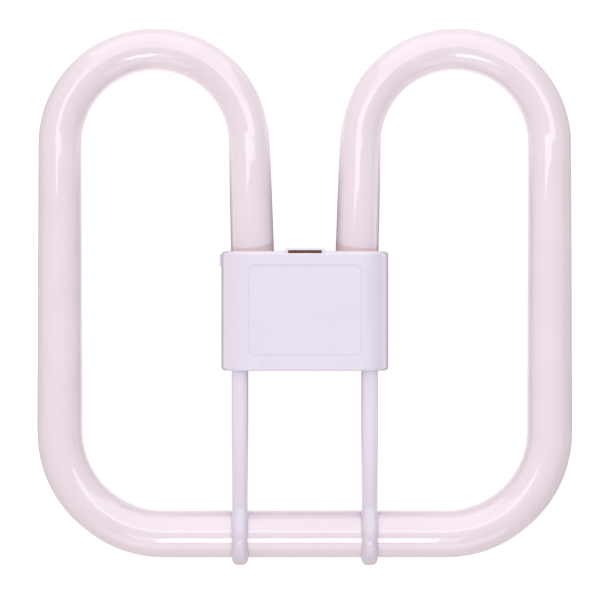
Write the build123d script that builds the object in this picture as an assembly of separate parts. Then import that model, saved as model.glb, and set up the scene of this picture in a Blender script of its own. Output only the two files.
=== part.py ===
from build123d import *
import os
from math import atan2, cos, degrees, radians, sin, sqrt

# Square compact fluorescent lamp: one bent glass tube whose two ends enter a moulded cap.
# The lamp lies on the cap's rear face. X is across the lamp, Y runs from the bottom limb
# to the arches, and Z points out of the front. The origin is the centre of the cap's rear
# face. All lengths are millimetres and all angles are degrees.

# Centreline of the glass tube. Its inner legs and its height are set from the cap that holds them.
outer_leg_x = 94.15
crown_y = 100.55
corner_radius = 39.8
limb_y = -85.8
toe_in = 1.7
inner_leg_inset = 10.63
axis_setback = 12.5

# Diameters of the tube along its length, and its wall
end_diameter = 16.7
spring_diameter = 15.9
crown_diameter = 16.2
shoulder_diameter = 16.8
knee_diameter = 17.6
limb_diameter = 18.3
glass_wall = 0.9
end_wall = 1.5
end_round = 3.5

# Pinched seal at each end of the tube, and the sealing tip on the left one
pinch_width = 10.0
pinch_thickness = 3.2
pinch_length = 7.0
pinch_round = 1.0
tip_radius = 1.5
tip_length = 9.0

# Cap
cap_width = 64.0
cap_height = 45.5
cap_depth = 28.0
cap_wall = 1.6
front_radius = 10.3
rear_radius = 3.5
edge_radius = 1.4
tube_insertion = 17.0
tube_fit = 0.2

# Shallow panel for a label on the front face
panel_width = 42.7
panel_height = 34.2
panel_radius = 2.3
panel_depth = 0.18
panel_rise = 0.4

# Tongue and rebate where the two halves of the cap meet
tongue_height = 1.4
tongue_thickness = 0.7
joint_fit = 0.1

# Ribs and troughs that hold the tube ends
rib_thickness = 1.4
upper_rib_y = 18.2
lower_rib_y = 8.6
bond_thickness = 1.2
bond_length = 6.0
bond_fit = 0.05
trough_wall = 1.3

# Snap hooks of the front cover
lower_hook_y = -15.0
upper_hook_y = 2.4
snap_width = 4.0
snap_thickness = 1.0
snap_length = 4.6
snap_barb = 0.6
snap_barb_height = 1.6
snap_fit = 0.2

# Well in the rear face for the lampholder, with the contact pins in it
well_width = 20.0
well_height = 32.0
well_depth = 8.0
well_round = 1.5
pin_pitch = 10.0
pin_radius = 1.15
pin_setback = 0.8
pin_fit = 0.1
pin_collar_radius = 1.9
pin_collar_height = 1.0
pin_stake_radius = 1.6
pin_stake_height = 0.4
pin_tail = 2.0
pin_bore_radius = 0.5
pin_bore_depth = 4.0

# Insulating board, its posts, and the raised frame around its tab
board_width = 19.0
board_bottom_y = -15.0
board_thickness = 1.6
board_headroom = 0.3
board_fit = 0.1
tab_width = 12.6
tab_proud = 0.23
post_x = 7.5
post_y = 12.0
post_radius = 2.0
peg_radius = 1.1
peg_proud = 0.2
frame_width = 15.5
frame_rise = 1.0
frame_foot = 1.3
frame_setback = 0.1
frame_round = 0.5
window_height = 1.12
window_bottom = 0.79

# Support arms of the front cover, which hook round the bottom limb
arm_x = 24.8
arm_width = 6.2
arm_thickness = 5.0
arm_setback = 3.7
arm_blend = 9.4
arm_front_round = 2.3
arm_rear_round = 0.4
clip_wall = 2.85
clip_fit = 0.1
clip_end_angle = 240
clip_shoulder_angle = 64
clip_shoulder_width = 6.45
clip_waist_angle = 100
clip_waist_width = 5.7
clip_toe_angle = 133
clip_toe_width = 6.5
clip_end_width = 6.3

# Small lug on the left side of the cap
lug_proud = 0.8
lug_length = 4.6
lug_depth = 6.0
lug_y = 19.5

# Lead wires and their sleeves
wire_radius = 0.3
wire_pitch = 5.6
wire_straight = 3.0
wire_step = 2.0
wire_bend = 1.6
wire_height = 4.4
wire_grip = 2.0
sleeve_radius = 0.8
sleeve_fit = 0.05

# Values that follow from the sizes above
cap_top = cap_height / 2
axis_z = cap_depth - axis_setback
split_z = axis_z
inner_leg_x = cap_width / 2 - inner_leg_inset
arch_radius = (outer_leg_x - inner_leg_x) / (1 + cos(radians(toe_in)))
arch_x = outer_leg_x - arch_radius
arch_y = crown_y - arch_radius
knee_x = outer_leg_x - corner_radius
knee_y = limb_y + corner_radius
spring_y = arch_y + arch_radius * sin(radians(toe_in))
leg_end_y = cap_top - tube_insertion
leg_length = (spring_y - leg_end_y) / cos(radians(toe_in))
leg_end_x = inner_leg_x - leg_length * sin(radians(toe_in))
well_floor_z = well_depth + cap_wall
pin_top_z = well_floor_z + pin_collar_height + pin_tail
board_front_z = cap_depth - cap_wall - board_headroom
board_rear_z = board_front_z - board_thickness
clip_inner = limb_diameter / 2 + clip_fit
clip_outer = clip_inner + clip_wall
arm_front_z = cap_depth - arm_setback

# Frame of the left tube end: its Z points out of the end, its Y to the lamp's front
left_end = Plane(
    origin=(-leg_end_x, leg_end_y, axis_z),
    x_dir=(cos(radians(toe_in)), sin(radians(toe_in)), 0),
    z_dir=(sin(radians(toe_in)), -cos(radians(toe_in)), 0),
)


def mirrored(shape):
    """The same shape on the other side of the lamp's centre plane."""
    return mirror(shape, about=Plane.YZ)


def block(x, y, z):
    """A box between pairs of limits along X, Y and Z."""
    corner = Box(x[1] - x[0], y[1] - y[0], z[1] - z[0], align=(Align.MIN, Align.MIN, Align.MIN))
    return Pos(x[0], y[0], z[0]) * corner


def tapered_run(edges, x_dir, outlines):
    """A bar along a chain of edges, with one outline at its start and one at each edge's end."""
    bar = Part()
    for edge, first, last in zip(edges, outlines, outlines[1:]):
        ends = [(0, first), (1, last)]
        sections = [Plane(origin=edge @ at, x_dir=x_dir, z_dir=edge % at) * outline for at, outline in ends]
        bar += sweep(sections, path=edge.edge(), multisection=True)
    return bar


def tube_run(shrink, cut_back):
    """The whole bent tube, thinner by shrink all round and shorter by cut_back at each end."""
    left_arch = (-arch_x, arch_y, axis_z)
    right_arch = (arch_x, arch_y, axis_z)
    start = left_end.from_local_coords((0, 0, -cut_back))
    finish = (-start.X, start.Y, start.Z)
    edges = [
        Line(start, (-inner_leg_x, spring_y, axis_z)),
        CenterArc(left_arch, arch_radius, toe_in, 90 - toe_in),
        CenterArc(left_arch, arch_radius, 90, 90),
        Line((-outer_leg_x, arch_y, axis_z), (-outer_leg_x, knee_y, axis_z)),
        CenterArc((-knee_x, knee_y, axis_z), corner_radius, 180, 90),
        Line((-knee_x, limb_y, axis_z), (knee_x, limb_y, axis_z)),
        CenterArc((knee_x, knee_y, axis_z), corner_radius, 270, 90),
        Line((outer_leg_x, knee_y, axis_z), (outer_leg_x, arch_y, axis_z)),
        CenterArc(right_arch, arch_radius, 0, 90),
        CenterArc(right_arch, arch_radius, 90, 90 - toe_in),
        Line((inner_leg_x, spring_y, axis_z), finish),
    ]
    half = [end_diameter, spring_diameter, crown_diameter, shoulder_diameter, knee_diameter]
    half.append(limb_diameter)
    outlines = [Circle(diameter / 2 - shrink) for diameter in half + half[::-1]]
    return tapered_run(edges, (0, 0, 1), outlines)


def leg_envelope(grow):
    """The left tube end, larger all round by grow, as a tapered bar that runs out of its end."""
    cone = Cone(
        end_diameter / 2 + grow,
        spring_diameter / 2 + grow,
        leg_length,
        align=(Align.CENTER, Align.CENTER, Align.MAX),
    )
    flipped = Plane(origin=left_end.origin, x_dir=left_end.x_dir, z_dir=-left_end.z_dir)
    bar = flipped * Pos(0, 0, leg_length) * cone
    return bar


def pinch_seal():
    """The flattened seal that closes a tube end and lets the lead wires through."""
    blade = Box(
        pinch_width,
        pinch_thickness,
        pinch_length + end_wall / 2,
        align=(Align.CENTER, Align.CENTER, Align.MIN),
    )
    blade = fillet(blade.edges().filter_by(Axis.Z), pinch_round)
    return left_end * Pos(0, 0, -end_wall / 2) * blade


def sealing_tip():
    """The closed stub of the tube through which the lamp was pumped and filled."""
    stub = Cylinder(
        tip_radius,
        tip_length + end_wall / 2 - tip_radius,
        align=(Align.CENTER, Align.CENTER, Align.MIN),
    )
    stub += Pos(0, 0, tip_length + end_wall / 2 - tip_radius) * Sphere(tip_radius)
    return left_end * Pos(0, 0, -end_wall / 2) * stub


def end_rims(tube):
    """The round edges of the tube's two flat ends."""
    ends = tube.faces().filter_by(GeomType.PLANE)
    return [edge for face in ends for edge in face.edges()]


def discharge_tube():
    """The bent glass tube with its wall and its sealed ends, as one piece of glass."""
    outside = tube_run(0, 0)
    outside = fillet(end_rims(outside), end_round)
    inside = tube_run(glass_wall, end_wall)
    inside = fillet(end_rims(inside), end_round - glass_wall)
    glass = outside - inside
    return glass + pinch_seal() + mirrored(pinch_seal()) + sealing_tip()


def cap_block(inset):
    """The cap's rounded block, smaller by inset on every side."""
    outline = Rectangle(cap_width - 2 * inset, cap_depth - 2 * inset)
    front = outline.vertices().group_by(Axis.Y)[-1]
    outline = fillet(front, front_radius - inset)
    rear = outline.vertices().group_by(Axis.Y)[0]
    outline = fillet(rear, max(rear_radius - inset, 0.2))
    section = Plane.XZ * Pos(0, cap_depth / 2) * outline
    return extrude(section, amount=cap_top - inset, both=True)


def cap_shell(keep):
    """One half of the cap's shell, with its outer edges rounded."""
    outside = cap_block(0)
    ends = outside.faces().filter_by(Axis.Y)
    outside = fillet([edge for face in ends for edge in face.edges()], edge_radius)
    shell = outside - cap_block(cap_wall)
    return split(shell, bisect_by=Plane.XY.offset(split_z), keep=keep)


def joint_ring(outer_inset, inner_inset, height):
    """A ring that follows the cap's side walls, standing on the plane where the halves meet."""
    ring = cap_block(outer_inset) - cap_block(inner_inset)
    band = block((-cap_width, cap_width), (-cap_height, cap_height), (split_z, split_z + height))
    return ring & band


def ribs(z_low, z_high, reach):
    """Ribs across the left tube end between two heights, from the middle bay to the wall."""
    inside = cap_block(cap_wall / 2)
    result = Part()
    for y in (upper_rib_y, lower_rib_y):
        slab = block((-cap_width, -reach), (y - rib_thickness / 2, y + rib_thickness / 2), (z_low, z_high))
        result += slab & inside
    return result


def snap_hook():
    """A springy tab on the left wall of the front cover, with a barb at its foot."""
    wall_x = cap_width / 2 - cap_wall
    tab = block(
        (-wall_x + snap_fit, -wall_x + snap_fit + snap_thickness),
        (-snap_width / 2, snap_width / 2),
        (split_z - snap_length, split_z + snap_length / 2),
    )
    root = block(
        (-wall_x - cap_wall / 2, -wall_x + snap_fit + snap_thickness),
        (-snap_width / 2, snap_width / 2),
        (split_z + tongue_height + joint_fit, split_z + snap_length / 2),
    )
    with BuildSketch(Plane.XZ) as barb:
        with BuildLine():
            Polyline(
                (-wall_x + snap_fit, split_z - snap_length),
                (-wall_x + snap_fit - snap_barb, split_z - snap_length + snap_barb_height),
                (-wall_x + snap_fit, split_z - snap_length + snap_barb_height),
                close=True,
            )
        make_face()
    return tab + root + extrude(barb.sketch, amount=snap_width / 2, both=True)


def snap_pocket():
    """The pocket in the rear housing's left wall that a barb springs into."""
    wall_x = cap_width / 2 - cap_wall
    return block(
        (-wall_x - snap_barb, -wall_x + snap_fit),
        (-snap_width / 2 - snap_fit, snap_width / 2 + snap_fit),
        (
            split_z - snap_length - snap_fit,
            split_z - snap_length + snap_barb_height + snap_fit,
        ),
    )


def arm_section(width, thickness):
    """The arm's section: its front face is on the path and its front edges are well rounded."""
    outline = Pos(0, -thickness / 2) * Rectangle(width, thickness)
    front = outline.vertices().group_by(Axis.Y)[-1]
    outline = fillet(front, arm_front_round)
    rear = outline.vertices().group_by(Axis.Y)[0]
    return fillet(rear, arm_rear_round)


def support_arm():
    """The left arm: straight out of the cap, up over the bottom limb and hooked round it.

    The hook is swept thicker than its wall, and a cylinder then gives it its round inside.
    """
    rise = arm_front_z - axis_z + arm_blend
    run = sqrt((clip_outer + arm_blend) ** 2 - rise**2)
    meet_angle = degrees(atan2(rise, run))
    side = Plane(origin=(-arm_x, 0, 0), x_dir=(0, 1, 0), z_dir=(1, 0, 0))
    blend_centre = (limb_y + run, arm_front_z + arm_blend)
    straight = Line((-cap_top + cap_wall / 2, arm_front_z), (limb_y + run, arm_front_z))
    blend = CenterArc(blend_centre, arm_blend, 270, meet_angle - 90)
    edges = [straight, blend]
    thick = clip_wall + 2 * arm_rear_round
    sizes = [(arm_width, arm_thickness), (arm_width, arm_thickness), (arm_width, thick)]
    clip_stations = [
        (clip_shoulder_angle, clip_shoulder_width),
        (clip_waist_angle, clip_waist_width),
        (clip_toe_angle, clip_toe_width),
        (180, clip_toe_width),
        (clip_end_angle, clip_end_width),
    ]
    angle = meet_angle
    for next_angle, width in clip_stations:
        edges.append(CenterArc((limb_y, axis_z), clip_outer, angle, next_angle - angle))
        sizes.append((width, thick))
        angle = next_angle
    outlines = [arm_section(*size) for size in sizes]
    arm = tapered_run([side * edge for edge in edges], (1, 0, 0), outlines)
    arm -= Pos(-arm_x, limb_y, axis_z) * Rot(0, 90, 0) * Cylinder(clip_inner, 2 * arm_width)
    foot_round = clip_toe_width / 2
    foot_y = limb_y - clip_outer + foot_round
    outline = Pos(-arm_x, foot_y) * Circle(foot_round)
    outline += Pos(-arm_x, foot_y) * Rectangle(
        2 * foot_round,
        cap_height - foot_y,
        align=(Align.CENTER, Align.MIN),
    )
    return arm & extrude(outline, amount=2 * cap_depth, both=True)


def tab_frame():
    """The raised frame on the cover's top edge, round the window where the board's tab shows."""
    frame = block(
        (-frame_width / 2, frame_width / 2),
        (cap_top - frame_foot, cap_top + frame_rise),
        (split_z, cap_depth - frame_setback),
    )
    top_edges = frame.edges().filter_by(Axis.Z).group_by(Axis.Y)[-1]
    return fillet(top_edges, frame_round)


def tab_window():
    """The room for the tab: a window from the front, and a slide from the joint plane."""
    low = cap_top - window_bottom
    high = low + window_height
    half = tab_width / 2 + board_fit
    window = block((-half, half), (low, high), (board_rear_z, cap_depth + cap_wall))
    slide = block((-half, half), (cap_top - 2 * cap_wall, high), (split_z, board_front_z + board_fit))
    return window + slide


def front_cover():
    """The front half of the cap with its two support arms, moulded as one piece."""
    cover = cap_shell(Keep.TOP)
    bay = board_width / 2 + cap_wall
    upper_ribs = ribs(split_z, cap_depth - cap_wall / 2, bay)
    cover += upper_ribs + mirrored(upper_ribs)
    cover += tab_frame()
    socket = leg_envelope(tube_fit)
    cover -= socket + mirrored(socket)
    cover -= joint_ring(cap_wall - tongue_thickness - joint_fit, 2 * cap_wall, tongue_height + joint_fit)
    cover -= tab_window()
    panel = RectangleRounded(panel_width, panel_height, panel_radius)
    cover -= Pos(0, panel_rise, cap_depth - panel_depth) * extrude(panel, amount=cap_wall)
    for y in (lower_hook_y, upper_hook_y):
        hook = Pos(0, y, 0) * snap_hook()
        cover += hook + mirrored(hook)
    arm = support_arm()
    return cover + arm + mirrored(arm)


def rear_housing():
    """The rear half of the cap: tube cradles, the lampholder's well and the board's posts."""
    housing = cap_shell(Keep.BOTTOM)
    housing += joint_ring(cap_wall - tongue_thickness, cap_wall, tongue_height)
    half_x = well_width / 2
    half_y = well_height / 2
    housing += block(
        (-half_x - cap_wall, half_x + cap_wall),
        (-half_y - cap_wall, half_y + cap_wall),
        (0, well_floor_z),
    )
    well = Box(well_width, well_height, 2 * well_depth)
    well = fillet(well.edges().filter_by(Axis.Z), well_round)
    housing -= well
    lower_ribs = ribs(cap_wall / 2, split_z, half_x + cap_wall / 2)
    housing += lower_ribs + mirrored(lower_ribs)
    trough = leg_envelope(bond_thickness + trough_wall)
    trough &= block((-cap_width, 0), (lower_rib_y, upper_rib_y), (0, split_z))
    housing += trough + mirrored(trough)
    for x in (-post_x, post_x):
        for y in (-post_y, post_y):
            post = Cylinder(
                post_radius,
                board_rear_z - well_floor_z + cap_wall / 2,
                align=(Align.CENTER, Align.CENTER, Align.MIN),
            )
            peg = Cylinder(
                peg_radius,
                board_thickness + peg_proud,
                align=(Align.CENTER, Align.CENTER, Align.MIN),
            )
            housing += Pos(x, y, well_floor_z - cap_wall / 2) * post
            housing += Pos(x, y, board_rear_z) * peg
    socket = leg_envelope(tube_fit) + mirrored(leg_envelope(tube_fit))
    bed = leg_envelope(bond_thickness)
    bed &= block(
        (-cap_width, 0),
        (lower_rib_y + rib_thickness / 2, upper_rib_y - rib_thickness / 2),
        (0, cap_depth),
    )
    housing -= socket + bed + mirrored(bed)
    housing += block(
        (-tab_width / 2, tab_width / 2),
        (cap_top - cap_wall, cap_top - window_bottom + window_height - board_fit),
        (split_z - cap_wall, board_rear_z - board_fit),
    )
    for y in (lower_hook_y, upper_hook_y):
        pocket = Pos(0, y, 0) * snap_pocket()
        slide = Pos(0, y, 0) * block(
            (-cap_width / 2 + cap_wall - tongue_thickness - joint_fit, -cap_width / 2 + 2 * cap_wall),
            (-snap_width / 2 - snap_fit, snap_width / 2 + snap_fit),
            (split_z, split_z + 2 * tongue_height),
        )
        housing -= pocket + mirrored(pocket) + slide + mirrored(slide)
    for x in (-pin_pitch / 2, pin_pitch / 2):
        for y in (-pin_pitch / 2, pin_pitch / 2):
            housing -= Pos(x, y, well_floor_z) * Cylinder(pin_radius + pin_fit, 4 * cap_wall)
    lug = block(
        (-cap_width / 2 - lug_proud, -cap_width / 2 + cap_wall / 2),
        (lug_y - lug_length / 2, lug_y + lug_length / 2),
        (split_z - lug_depth, split_z),
    )
    lug = fillet(lug.edges().filter_by(Axis.Z).group_by(Axis.X)[0], lug_proud / 2)
    return housing + lug


def insulating_board():
    """The brown board that keeps the pins' tails and wires from the front wall."""
    plate = block(
        (-board_width / 2, board_width / 2),
        (board_bottom_y, cap_top - cap_wall - 2 * board_fit),
        (board_rear_z, board_front_z),
    )
    plate += block(
        (-tab_width / 2, tab_width / 2),
        (board_bottom_y / 2, cap_top + tab_proud),
        (board_rear_z, board_front_z),
    )
    for x in (-post_x, post_x):
        for y in (-post_y, post_y):
            plate -= Pos(x, y, board_rear_z) * Cylinder(peg_radius + board_fit, 4 * board_thickness)
    return plate


def contact_pin():
    """A hollow pin, staked in the well's floor, with its wire bore open at the inner end."""
    with BuildSketch(Plane.XZ) as half:
        with BuildLine():
            Polyline(
                (0, pin_setback),
                (pin_radius / 2, pin_setback),
                (pin_radius, pin_setback + pin_radius / 2),
                (pin_radius, well_depth - pin_stake_height),
                (pin_stake_radius, well_depth - pin_stake_height / 2),
                (pin_stake_radius, well_depth),
                (pin_radius, well_depth),
                (pin_radius, well_floor_z),
                (pin_collar_radius, well_floor_z),
                (pin_collar_radius, well_floor_z + pin_collar_height),
                (pin_radius, well_floor_z + pin_collar_height),
                (pin_radius, pin_top_z),
                (pin_bore_radius, pin_top_z),
                (pin_bore_radius, pin_top_z - pin_bore_depth),
                (0, pin_top_z - pin_bore_depth - pin_bore_radius),
                close=True,
            )
        make_face()
    return revolve(half.sketch, axis=Axis.Z)


def wire_route(side, y):
    """The route of one wire of the left tube end, from the seal down into its pin's bore."""
    shift = side * wire_pitch / 2
    step = side * wire_step
    reach = pinch_length + wire_straight + (wire_step - step) / 2
    start = left_end.from_local_coords((shift, 0, pinch_length))
    turn = left_end.from_local_coords((shift, 0, reach))
    over = pin_top_z + wire_height
    pin_x = -pin_pitch / 2
    middle = ((turn.X + pin_x) / 2 + shift, turn.Y + step, (turn.Z + over) / 2)
    points = [start, turn, middle, (pin_x, y, over), (pin_x, y, pin_top_z - wire_grip)]
    return FilletPolyline(*points, radius=wire_bend)


def along(route, radius):
    """A round bar along a route."""
    start = Plane(origin=route @ 0, z_dir=route % 0)
    return sweep(start * Circle(radius), path=route)


def lead_wire(side, y):
    """One bare wire from the tube's seal into a pin."""
    return along(wire_route(side, y), wire_radius)


def wire_sleeve(side, y):
    """The insulating sleeve over a wire, clear of its first and last straight stretch."""
    route = Wire(wire_route(side, y).edges()[1:-1])
    return along(route, sleeve_radius) - along(route, wire_radius + sleeve_fit)


def tube_bond():
    """The adhesive saddle between the left tube end and its trough."""
    saddle = leg_envelope(bond_thickness - bond_fit) - leg_envelope(bond_fit)
    middle = (upper_rib_y + lower_rib_y) / 2
    return saddle & block(
        (-cap_width, 0),
        (middle - bond_length / 2, middle + bond_length / 2),
        (0, split_z - joint_fit),
    )


parts = {
    "discharge_tube": discharge_tube(),
    "front_cover": front_cover(),
    "rear_housing": rear_housing(),
    "insulating_board": insulating_board(),
    "tube_bond_left": tube_bond(),
    "tube_bond_right": mirrored(tube_bond()),
}
number = 0
for side, y in ((-1, -pin_pitch / 2), (1, pin_pitch / 2)):
    for hand in (1, -1):
        number += 1
        pin = Pos(-hand * pin_pitch / 2, y, 0) * contact_pin()
        wire = lead_wire(side, y)
        sleeve = wire_sleeve(side, y)
        parts[f"contact_pin_{number}"] = pin
        parts[f"lead_wire_{number}"] = wire if hand == 1 else mirrored(wire)
        parts[f"wire_sleeve_{number}"] = sleeve if hand == 1 else mirrored(sleeve)

os.makedirs("parts", exist_ok=True)
for name, shape in parts.items():
    export_step(shape, f"parts/{name}.step")
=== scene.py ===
import math

import bpy
from mathutils import Matrix, Vector


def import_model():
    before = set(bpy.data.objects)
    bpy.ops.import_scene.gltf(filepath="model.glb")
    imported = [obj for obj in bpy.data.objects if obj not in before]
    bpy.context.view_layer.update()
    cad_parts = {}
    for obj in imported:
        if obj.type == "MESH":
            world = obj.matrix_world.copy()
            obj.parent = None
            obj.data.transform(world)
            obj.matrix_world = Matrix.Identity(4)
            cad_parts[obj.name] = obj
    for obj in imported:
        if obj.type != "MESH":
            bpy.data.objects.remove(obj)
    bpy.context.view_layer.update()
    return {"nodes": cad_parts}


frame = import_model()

MM = 0.001

# The view: its width at the plane of the tube's axis, and the point in its middle
VIEW_WIDTH = 231 * MM
VIEW_CENTRE = Vector((-1.85 * MM, 4.18 * MM, 15.5 * MM))
CAMERA_DISTANCE = 0.85
SENSOR_WIDTH = 36.0

# Every material: its patches of colour, and the fine grain of its roughness and bump
PATCH_DETAIL = 4.0
PATCH_RAMP = (0.35, 0.65)
GRAIN_DETAIL = 3.0
GRAIN_RANGE = (0.3, 0.7)
BUMP_DEPTH = 0.2 * MM

# The coated glass, and the bare band above the cap. The powder's edge is a plane that leans back and
# rises towards the lamp's middle. It is given by its height on the axis of an inner leg.
GLASS_LIGHT = (0.80, 0.72, 0.785, 1)
GLASS_DARK = (0.78, 0.70, 0.765, 1)
GLASS_BARE = (0.70, 0.56, 0.57, 1)
LEG_ACROSS = 20.1 * MM
LEG_DEPTH = 15.5 * MM
EDGE_HEIGHT = 26.4 * MM
EDGE_RISE = 0.107
EDGE_LEAN = 0.30
EDGE_WAVE = 0.4 * MM
EDGE_WAVE_SCALE = 500.0
EDGE_RAMP = (0.2 * MM, -0.3 * MM)
INNER_LEGS_ACROSS = (45 * MM, 44 * MM)
INNER_LEGS_UP = (0.0, 1 * MM)

# The cap's plastic, with painted shade towards the hooks and a painted shadow line along the step round the
# label panel
PLASTIC_LIGHT = (0.75, 0.71, 0.825, 1)
PLASTIC_DARK = (0.735, 0.695, 0.81, 1)
HOOKS_PAINTED_SHADE = (0.655, 0.61, 0.705, 1)
STEP_PAINTED_SHADOW = (0.69, 0.65, 0.755, 1)
HOOKS_SHADE_RAMP = (-35 * MM, -80 * MM)
HOOKS_SHADE_SHARE = 0.85
PANEL_HALF_WIDTH = 21.35 * MM
PANEL_HALF_HEIGHT = 17.1 * MM
PANEL_RADIUS = 2.3 * MM
PANEL_RISE = 0.4 * MM
STEP_SHADOW_RAMP = (0.4 * MM, 0.1 * MM)
FRONT_RAMP = (27.2 * MM, 27.6 * MM)

# The floor: its size, and its colours close round the cap and further out
FLOOR_HALF = 6.0
FLOOR_DROP = 0.2 * MM
FLOOR_BY_CAP = (0.1, 0.06, 0.055, 1)
FLOOR_CLEAR = (0.36, 0.325, 0.32, 1)
FLOOR_GLOW = (1, 0.97, 0.98, 1)
CAP_HALF_WIDTH = 32 * MM
CAP_HALF_HEIGHT = 30 * MM
CLEAR_RAMP = (10 * MM, 50 * MM)

# How strongly the floor lights the lamp: everywhere, inside the loops, and less there towards the arches
GLOW_EVERYWHERE = 0.3
GLOW_LOOPS = 0.95
GLOW_ARCHES_LOSS = -0.75
LOOPS_RAMP = (110 * MM, 90 * MM)
LOOPS_UP_SHARE = 0.35
ARCHES_RAMP = (80 * MM, 100 * MM)

# The sky: a warm rim near the horizon, and an even light above it. Both are dimmer at the right.
RIM_COLOUR = (1, 0.82, 0.79, 1)
RIM_STRENGTH = 0.58
RIM_LEAST = 0.05
RIM_ACROSS = -0.3
RIM_RIGHT = -0.15
RIM_ENDS = 0.2
SKY_COLOUR = (1, 0.96, 0.97, 1)
SKY_STRENGTH = 0.65
SKY_RIGHT = -0.12
SKY_TOP = -0.12
SKY_TOP_RAMP = (0.55, 0.9)
RIM_TO_SKY_RAMP = (0.1, 0.45)

# The lights, each with its middle across, its lower and upper edge as (y, z), its width and its radiance.
# The key light is a large box above the arches, in four strips, and three of them are turned a little.
# A small box and a wide dim one light the lower side.
WHITE = (1, 1, 1)
WARM = (1, 0.95, 0.94)
KEY_TURN = math.radians(3.7)
LIGHTS = (
    ("key_near", 0.10, (0.151, 1.25), (0.40, 1.17), 1.3, 2.0, KEY_TURN, WHITE),
    ("key_middle", 0.10, (0.40, 1.17), (0.76, 0.97), 1.3, 1.1, KEY_TURN, WHITE),
    ("key_far", 0.10, (0.76, 0.97), (1.06, 0.60), 1.5, 1.1, KEY_TURN, WHITE),
    ("key_low", 0.0, (1.06, 0.60), (1.16, 0.0), 1.7, 1.1, 0.0, WHITE),
    ("small_box", -0.02, (-0.80, 0.93), (-0.45, 1.05), 0.28, 4.0, 0.0, WHITE),
    ("small_box_edge", -0.05, (-0.80, 0.93), (-0.45, 1.05), 0.5, 1.2, 0.0, WHITE),
    ("fill", 0.0, (-1.25, 0.35), (-0.88, 0.86), 1.4, 0.9, 0.0, WARM),
)


def linear(red, green, blue):
    """A colour given as sRGB from 0 to 255, as the linear values that Blender takes."""
    def one(value):
        value = value / 255
        return value / 12.92 if value <= 0.04045 else ((value + 0.055) / 1.055) ** 2.4
    return (one(red), one(green), one(blue), 1)


class Nodes:
    """The nodes of one material or world, with short calls to add and link them."""

    def __init__(self, tree):
        self.tree = tree
        tree.nodes.clear()

    def add(self, kind, **values):
        node = self.tree.nodes.new(kind)
        for name, value in values.items():
            setattr(node, name, value)
        return node

    def link(self, source, target):
        self.tree.links.new(source, target)

    def position(self, kind):
        """The texture coordinates of this kind, and their three parts."""
        where = self.add("ShaderNodeTexCoord").outputs[kind]
        split = self.add("ShaderNodeSeparateXYZ")
        self.link(where, split.inputs[0])
        return where, tuple(split.outputs)

    def math(self, operation, *values):
        """One math node on numbers or sockets."""
        node = self.add("ShaderNodeMath", operation=operation)
        for socket, value in zip(node.inputs, values):
            if isinstance(value, (int, float)):
                socket.default_value = value
            else:
                self.link(value, socket)
        return node.outputs[0]

    def ramp(self, value, ends):
        """0 at the first of the ends and beyond it, and 1 at the second, with a smooth ramp between."""
        node = self.add("ShaderNodeMapRange", interpolation_type="SMOOTHSTEP")
        self.link(value, node.inputs["Value"])
        node.inputs["From Min"].default_value, node.inputs["From Max"].default_value = ends
        return node.outputs["Result"]

    def mix(self, factor, first, second):
        """From the first colour to the second one. Each is a colour or a socket."""
        node = self.add("ShaderNodeMix", data_type="RGBA")
        self.link(factor, node.inputs[0])
        for socket, value in ((node.inputs[6], first), (node.inputs[7], second)):
            if isinstance(value, tuple):
                socket.default_value = value
            else:
                self.link(value, socket)
        return node.outputs[2]

    def noise(self, where, scale, detail):
        node = self.add("ShaderNodeTexNoise")
        self.link(where, node.inputs["Vector"])
        node.inputs["Scale"].default_value = scale
        node.inputs["Detail"].default_value = detail
        return node.outputs[0]


class Surface(Nodes):
    """A material whose colour runs between two shades in patches, with its own roughness and fine bump."""

    def __init__(self, name, light, dark, rough, patch=90.0, grain=2500.0, bump=0.05, **sockets):
        self.material = bpy.data.materials.new(name)
        self.material.use_nodes = True
        super().__init__(self.material.node_tree)
        self.where, (self.x, self.y, self.z) = self.position("Object")
        self.shader = self.add("ShaderNodeBsdfPrincipled")
        output = self.add("ShaderNodeOutputMaterial")
        self.link(self.shader.outputs[0], output.inputs["Surface"])
        patches = self.noise(self.where, patch, PATCH_DETAIL)
        grains = self.noise(self.where, grain, GRAIN_DETAIL)
        self.colour = light
        self.tint(self.ramp(patches, PATCH_RAMP), dark)
        spread = self.add("ShaderNodeMapRange")
        self.link(grains, spread.inputs["Value"])
        spread.inputs["From Min"].default_value, spread.inputs["From Max"].default_value = GRAIN_RANGE
        spread.inputs["To Min"].default_value, spread.inputs["To Max"].default_value = rough
        self.link(spread.outputs[0], self.shader.inputs["Roughness"])
        relief = self.add("ShaderNodeBump")
        relief.inputs["Strength"].default_value = bump
        relief.inputs["Distance"].default_value = BUMP_DEPTH
        self.link(grains, relief.inputs["Height"])
        self.link(relief.outputs[0], self.shader.inputs["Normal"])
        for socket, value in sockets.items():
            self.shader.inputs[socket.replace("_", " ")].default_value = value

    def tint(self, factor, colour):
        """Turns the surface's colour towards another one where the factor is 1."""
        self.colour = self.mix(factor, self.colour, colour)
        self.link(self.colour, self.shader.inputs["Base Color"])


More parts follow.
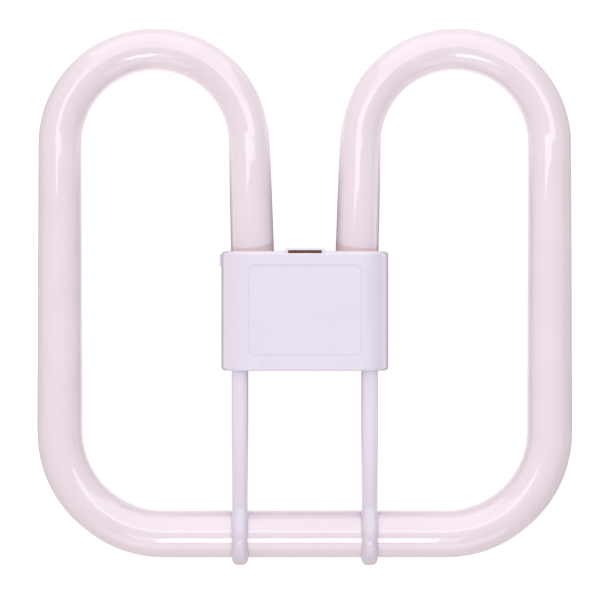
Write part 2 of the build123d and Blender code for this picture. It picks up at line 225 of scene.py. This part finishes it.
def coated_glass():
    """White powder behind clear glass, which stops short of the cap and leaves a bare band there."""
    glass = Surface("coated_glass", GLASS_LIGHT, GLASS_DARK, rough=(0.42, 0.5),
                    patch=45.0, grain=1800.0, bump=0.01,
                    Coat_Weight=1.0, Coat_Roughness=0.02, Coat_IOR=1.7, Specular_IOR_Level=0.0)
    across = glass.math("ABSOLUTE", glass.x)
    edge = glass.math("MULTIPLY_ADD", across, -EDGE_RISE,
                      EDGE_HEIGHT + EDGE_RISE * LEG_ACROSS + EDGE_LEAN * LEG_DEPTH)
    edge = glass.math("MULTIPLY_ADD", glass.z, -EDGE_LEAN, edge)
    wave = glass.noise(glass.where, EDGE_WAVE_SCALE, PATCH_DETAIL)
    edge = glass.math("MULTIPLY_ADD", wave, EDGE_WAVE, edge)
    bare = glass.ramp(glass.math("SUBTRACT", glass.y, edge), EDGE_RAMP)
    legs = glass.math("MULTIPLY", glass.ramp(across, INNER_LEGS_ACROSS), glass.ramp(glass.y, INNER_LEGS_UP))
    glass.tint(glass.math("MULTIPLY", bare, legs), GLASS_BARE)
    return glass


def moulded_plastic():
    """Pale plastic, with painted shade towards the hooks and a painted shadow line along the shallow step
    round the label panel.
    """
    plastic = Surface("cap_plastic", PLASTIC_LIGHT, PLASTIC_DARK, rough=(0.42, 0.5), grain=3500.0,
                      Coat_Weight=0.8, Coat_Roughness=0.09)
    # Painted shade: the plastic's colour turns darker towards the hooks
    plastic.tint(plastic.math("MULTIPLY", plastic.ramp(plastic.y, HOOKS_SHADE_RAMP), HOOKS_SHADE_SHARE), HOOKS_PAINTED_SHADE)
    # How far a point is from the panel's outline, a rectangle with rounded corners
    beside = plastic.math("SUBTRACT", plastic.math("ABSOLUTE", plastic.x), PANEL_HALF_WIDTH - PANEL_RADIUS)
    above = plastic.math("ABSOLUTE", plastic.math("SUBTRACT", plastic.y, PANEL_RISE))
    above = plastic.math("SUBTRACT", above, PANEL_HALF_HEIGHT - PANEL_RADIUS)
    squares = [plastic.math("POWER", plastic.math("MAXIMUM", part, 0.0), 2.0) for part in (beside, above)]
    corner = plastic.math("SQRT", plastic.math("ADD", *squares))
    inside = plastic.math("MINIMUM", plastic.math("MAXIMUM", beside, above), 0.0)
    away = plastic.math("SUBTRACT", plastic.math("ADD", corner, inside), PANEL_RADIUS)
    # Painted shadow line in the step round the label panel, on the front face only
    step = plastic.ramp(plastic.math("ABSOLUTE", away), STEP_SHADOW_RAMP)
    plastic.tint(plastic.math("MULTIPLY", step, plastic.ramp(plastic.z, FRONT_RAMP)), STEP_PAINTED_SHADOW)
    return plastic


def place(node, surface):
    """Gives a CAD node this surface's material in its own slots."""
    slots = frame["nodes"][node].data.materials
    if len(slots) == 0:
        slots.append(surface.material)
    for i in range(len(slots)):
        slots[i] = surface.material


def camera():
    """Straight above the lamp, which lies on its back."""
    data = bpy.data.cameras.new("camera")
    data.sensor_width = SENSOR_WIDTH
    data.lens = SENSOR_WIDTH * CAMERA_DISTANCE / VIEW_WIDTH
    eye = bpy.data.objects.new("camera", data)
    eye.location = VIEW_CENTRE + Vector((0, 0, CAMERA_DISTANCE))
    bpy.context.scene.collection.objects.link(eye)
    bpy.context.scene.camera = eye
    bpy.context.scene.view_settings.view_transform = "Standard"


def floor():
    """A pale floor, white to the camera. It lights the lamp most inside the loops, least round the cap."""
    mesh = bpy.data.meshes.new("floor")
    corners = [(-FLOOR_HALF, -FLOOR_HALF, 0), (FLOOR_HALF, -FLOOR_HALF, 0),
               (FLOOR_HALF, FLOOR_HALF, 0), (-FLOOR_HALF, FLOOR_HALF, 0)]
    mesh.from_pydata(corners, [], [(0, 1, 2, 3)])
    sheet = bpy.data.objects.new("floor", mesh)
    sheet.location.z = -FLOOR_DROP
    bpy.context.scene.collection.objects.link(sheet)
    material = bpy.data.materials.new("floor")
    material.use_nodes = True
    n = Nodes(material.node_tree)
    across, up = n.position("Object")[1][:2]
    wide = n.math("ABSOLUTE", across)
    beside = n.math("MAXIMUM", n.math("SUBTRACT", wide, CAP_HALF_WIDTH),
                    n.math("SUBTRACT", n.math("ABSOLUTE", up), CAP_HALF_HEIGHT))
    clear = n.ramp(beside, CLEAR_RAMP)
    matt = n.add("ShaderNodeBsdfDiffuse")
    n.link(n.mix(clear, FLOOR_BY_CAP, FLOOR_CLEAR), matt.inputs["Color"])
    reach = n.math("MAXIMUM", n.math("MULTIPLY", up, LOOPS_UP_SHARE), n.math("MULTIPLY", up, -1.0))
    loops = n.ramp(n.math("MAXIMUM", wide, reach), LOOPS_RAMP)
    inner = n.math("MULTIPLY_ADD", n.ramp(up, ARCHES_RAMP), GLOW_ARCHES_LOSS, GLOW_LOOPS)
    inner = n.math("MULTIPLY", loops, inner)
    near = n.math("MULTIPLY", clear, n.math("ADD", inner, GLOW_EVERYWHERE))
    seen = n.add("ShaderNodeLightPath").outputs["Is Camera Ray"]
    glow = n.add("ShaderNodeEmission")
    glow.inputs["Color"].default_value = FLOOR_GLOW
    n.link(n.math("MULTIPLY_ADD", n.math("SUBTRACT", 1.0, seen), near, seen), glow.inputs["Strength"])
    both = n.add("ShaderNodeAddShader")
    n.link(matt.outputs[0], both.inputs[0])
    n.link(glow.outputs[0], both.inputs[1])
    output = n.add("ShaderNodeOutputMaterial")
    n.link(both.outputs[0], output.inputs["Surface"])
    mesh.materials.append(material)


def world():
    """Even light from above, with a warmer rim near the horizon that is brightest at the left."""
    sky = bpy.data.worlds.new("studio")
    bpy.context.scene.world = sky
    sky.use_nodes = True
    n = Nodes(sky.node_tree)
    x, y, z = n.position("Generated")[1]
    right = n.math("MAXIMUM", x, 0.0)
    side = n.math("MULTIPLY_ADD", n.math("MULTIPLY", y, y), RIM_ENDS, RIM_STRENGTH)
    side = n.math("MULTIPLY_ADD", x, RIM_ACROSS, side)
    side = n.math("MULTIPLY_ADD", right, RIM_RIGHT, side)
    rim = n.add("ShaderNodeBackground")
    rim.inputs["Color"].default_value = RIM_COLOUR
    n.link(n.math("MAXIMUM", side, RIM_LEAST), rim.inputs["Strength"])
    above = n.math("MULTIPLY_ADD", n.ramp(z, SKY_TOP_RAMP), SKY_TOP, SKY_STRENGTH)
    middle = n.add("ShaderNodeBackground")
    middle.inputs["Color"].default_value = SKY_COLOUR
    n.link(n.math("MULTIPLY_ADD", right, SKY_RIGHT, above), middle.inputs["Strength"])
    both = n.add("ShaderNodeMixShader")
    n.link(n.ramp(z, RIM_TO_SKY_RAMP), both.inputs[0])
    n.link(rim.outputs[0], both.inputs[1])
    n.link(middle.outputs[0], both.inputs[2])
    output = n.add("ShaderNodeOutputWorld")
    n.link(both.outputs[0], output.inputs["Surface"])


def panel(name, x, low, high, width, radiance, turn, colour):
    """An area light that shines down from between two heights, its long side turned about the vertical."""
    low, high = Vector((x, *low)), Vector((x, *high))
    across = Matrix.Rotation(turn, 3, "Z") @ Vector((1, 0, 0))
    rise = high - low
    up = (rise - across * rise.dot(across)).normalized()
    back = across.cross(up)
    if back.z < 0:
        across, back = -across, -back
    data = bpy.data.lights.new(name, "AREA")
    data.shape = "RECTANGLE"
    data.size = width
    data.size_y = rise.length
    data.energy = radiance * math.pi * width * rise.length
    data.color = colour
    light = bpy.data.objects.new(name, data)
    turned = Matrix((across, up, back)).transposed().to_4x4()
    turned.translation = (low + high) / 2
    light.matrix_world = turned
    bpy.context.scene.collection.objects.link(light)


glass = coated_glass()
plastic = moulded_plastic()
board = Surface("phenolic_board", linear(150, 84, 50), linear(140, 77, 45), rough=(0.4, 0.55), grain=3000.0)
brass = Surface("pin_brass", linear(215, 180, 120), linear(205, 170, 110), rough=(0.2, 0.3), Metallic=1.0)
nickel = Surface("wire_nickel", linear(190, 188, 182), linear(180, 178, 172), rough=(0.25, 0.4), Metallic=1.0)
fibre = Surface("sleeve_fibre", linear(225, 220, 205), linear(215, 210, 195), rough=(0.7, 0.85),
                grain=4000.0, bump=0.2)
silicone = Surface("bond_silicone", linear(232, 232, 228), linear(226, 226, 222), rough=(0.45, 0.6))

place("discharge_tube", glass)
place("front_cover", plastic)
place("rear_housing", plastic)
place("insulating_board", board)
for side in ("left", "right"):
    place("tube_bond_" + side, silicone)
for number in "1234":
    place("contact_pin_" + number, brass)
    place("lead_wire_" + number, nickel)
    place("wire_sleeve_" + number, fibre)

camera()
floor()
world()
for row in LIGHTS:
    panel(*row)
